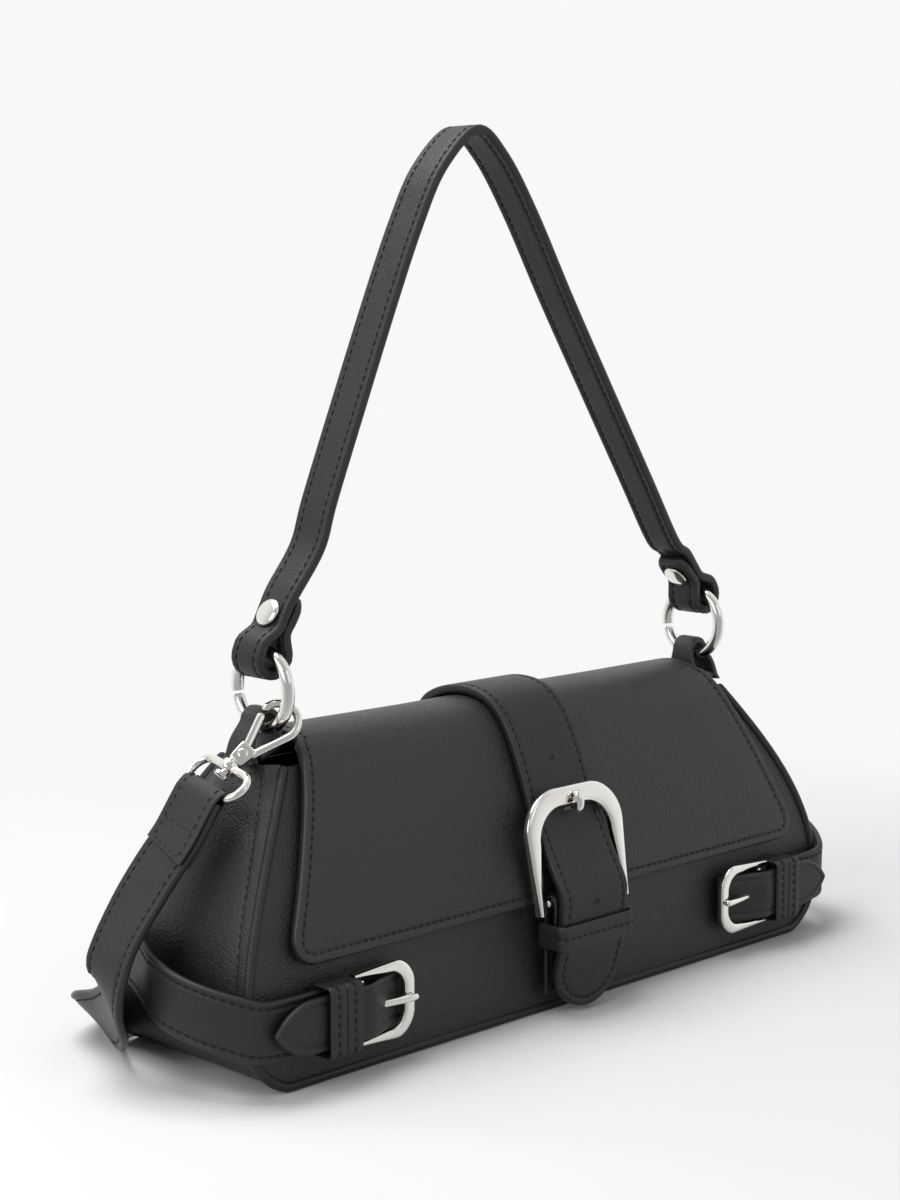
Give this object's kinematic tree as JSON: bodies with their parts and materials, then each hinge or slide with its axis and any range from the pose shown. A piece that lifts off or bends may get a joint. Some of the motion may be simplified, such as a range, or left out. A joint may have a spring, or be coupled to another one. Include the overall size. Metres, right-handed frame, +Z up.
{
  "type": "crossbody bag",
  "caption": "Small structured crossbody bag with a flap, a centre buckle strap, side belts, a carry handle on rings and a clip-on long strap.",
  "frame": {"origin": "on the floor under the middle of the base panel", "axes": "+X across the bag to its right, +Y to its back, +Z up; the flap's front faces -Y"},
  "size_m": [0.2993, 0.1097, 0.276],
  "materials": {
    "black_leather": "satin black faux leather with a fine grain",
    "edge_leather": "smooth black faux leather strap",
    "lining_cloth": "plain woven lining",
    "base_board": "matte stiffener board",
    "polished_metal": "polished silver-coloured plating"
  },
  "bodies": {
    "bag": {"front_panel": "black_leather", "back_panel": "black_leather", "left_gusset": "black_leather", "right_gusset": "black_leather", "base_panel": "black_leather", "front_piping": "edge_leather", "back_piping": "edge_leather", "lining": "lining_cloth", "base_board": "base_board", "inner_pocket": "lining_cloth", "flap_seam_strip": "black_leather", "snap_socket": "polished_metal", "crossbody_strap": "edge_leather", "left_belt": "edge_leather", "left_belt_keeper": "black_leather", "left_billet": "black_leather", "left_buckle_frame": "polished_metal", "left_buckle_bar": "polished_metal", "left_tab": "black_leather", "left_ring": "polished_metal", "left_ring_pin": "polished_metal", "left_swivel_loop": "polished_metal", "right_belt": "edge_leather", "right_belt_keeper": "black_leather", "right_billet": "black_leather", "right_buckle_frame": "polished_metal", "right_buckle_bar": "polished_metal", "right_tab": "black_leather", "right_ring": "polished_metal", "right_ring_pin": "polished_metal", "right_hook_body": "polished_metal", "right_hook_pin": "polished_metal", "right_swivel_loop": "polished_metal"},
    "flap_top": {"flap_top": "black_leather", "strap_crest": "black_leather"},
    "flap": {"flap_front": "black_leather", "centre_strap": "black_leather", "buckle_tab": "edge_leather", "centre_keeper": "black_leather", "centre_buckle_frame": "polished_metal", "centre_buckle_bar": "polished_metal", "snap_plate": "polished_metal"},
    "centre_prong": {"centre_buckle_prong": "polished_metal"},
    "left_prong": {"left_buckle_prong": "polished_metal"},
    "right_prong": {"right_buckle_prong": "polished_metal"},
    "handle": {"handle_strap": "black_leather", "left_rivet": "polished_metal", "left_rivet_cap": "polished_metal", "right_rivet": "polished_metal", "right_rivet_cap": "polished_metal"},
    "left_ring_gate": {"left_ring_gate": "polished_metal"},
    "right_ring_gate": {"right_ring_gate": "polished_metal"},
    "left_hook": {"left_hook_body": "polished_metal", "left_hook_pin": "polished_metal"},
    "left_hook_gate": {"left_hook_gate": "polished_metal"},
    "right_hook_gate": {"right_hook_gate": "polished_metal"}
  },
  "joints": [
    {"name": "flap_top_hinge", "type": "hinge", "parent": "bag", "child": "flap_top", "pos_m": [0, 0.0176, 0.0892], "axis": [-1, 0, 0], "range_deg": [0, 17]},
    {"name": "flap_fold", "type": "hinge", "parent": "flap_top", "child": "flap", "pos_m": [0, -0.01206, 0.09878], "axis": [-1, 0, 0], "range_deg": [0, 84]},
    {"name": "centre_prong_hinge", "type": "hinge", "parent": "flap", "child": "centre_prong", "pos_m": [0, -0.0403, 0.0367], "axis": [1, 0, 0], "range_deg": [0, 4]},
    {"name": "left_prong_hinge", "type": "hinge", "parent": "bag", "child": "left_prong", "pos_m": [-0.0925, -0.0385, 0.02], "axis": [0, 0, -1], "range_deg": [0, 4]},
    {"name": "right_prong_hinge", "type": "hinge", "parent": "bag", "child": "right_prong", "pos_m": [0.0925, -0.0385, 0.02], "axis": [0, 0, 1], "range_deg": [0, 4]},
    {"name": "handle_swing", "type": "hinge", "parent": "bag", "child": "handle", "pos_m": [0, -0.003, 0.11], "axis": [-1, 0, 0], "range_deg": [-28, 45]},
    {"name": "left_ring_gate_hinge", "type": "hinge", "parent": "bag", "child": "left_ring_gate", "pos_m": [-0.0985, 0.00833, 0.108], "axis": [-1, 0, 0], "range_deg": [0, 20], "stiffness_Nm_per_rad": 0.01, "springref_deg": -11.46},
    {"name": "right_ring_gate_hinge", "type": "hinge", "parent": "bag", "child": "right_ring_gate", "pos_m": [0.0985, 0.00833, 0.108], "axis": [-1, 0, 0], "range_deg": [0, 20], "stiffness_Nm_per_rad": 0.01, "springref_deg": -11.46},
    {"name": "left_hook_turn", "type": "hinge", "parent": "bag", "child": "left_hook", "pos_m": [-0.11377, -0.00839, 0.09105], "axis": [0.7896, -0.1699, 0.5897], "range_deg": [-6, 6]},
    {"name": "left_hook_gate_hinge", "type": "hinge", "parent": "left_hook", "child": "left_hook_gate", "pos_m": [-0.11117, -0.00895, 0.093], "axis": [0.5274, 0.6791, -0.5105], "range_deg": [0, 10], "stiffness_Nm_per_rad": 0.01, "springref_deg": -11.46},
    {"name": "right_hook_gate_hinge", "type": "hinge", "parent": "bag", "child": "right_hook_gate", "pos_m": [0.02258, 0.048, 0.0318], "axis": [0, 0, -1], "range_deg": [0, 14], "stiffness_Nm_per_rad": 0.01, "springref_deg": -11.46}
  ],
  "couplings": [
    {"joint": "flap_top_hinge", "follows": "flap_fold", "ratio": 0.202}
  ]
}
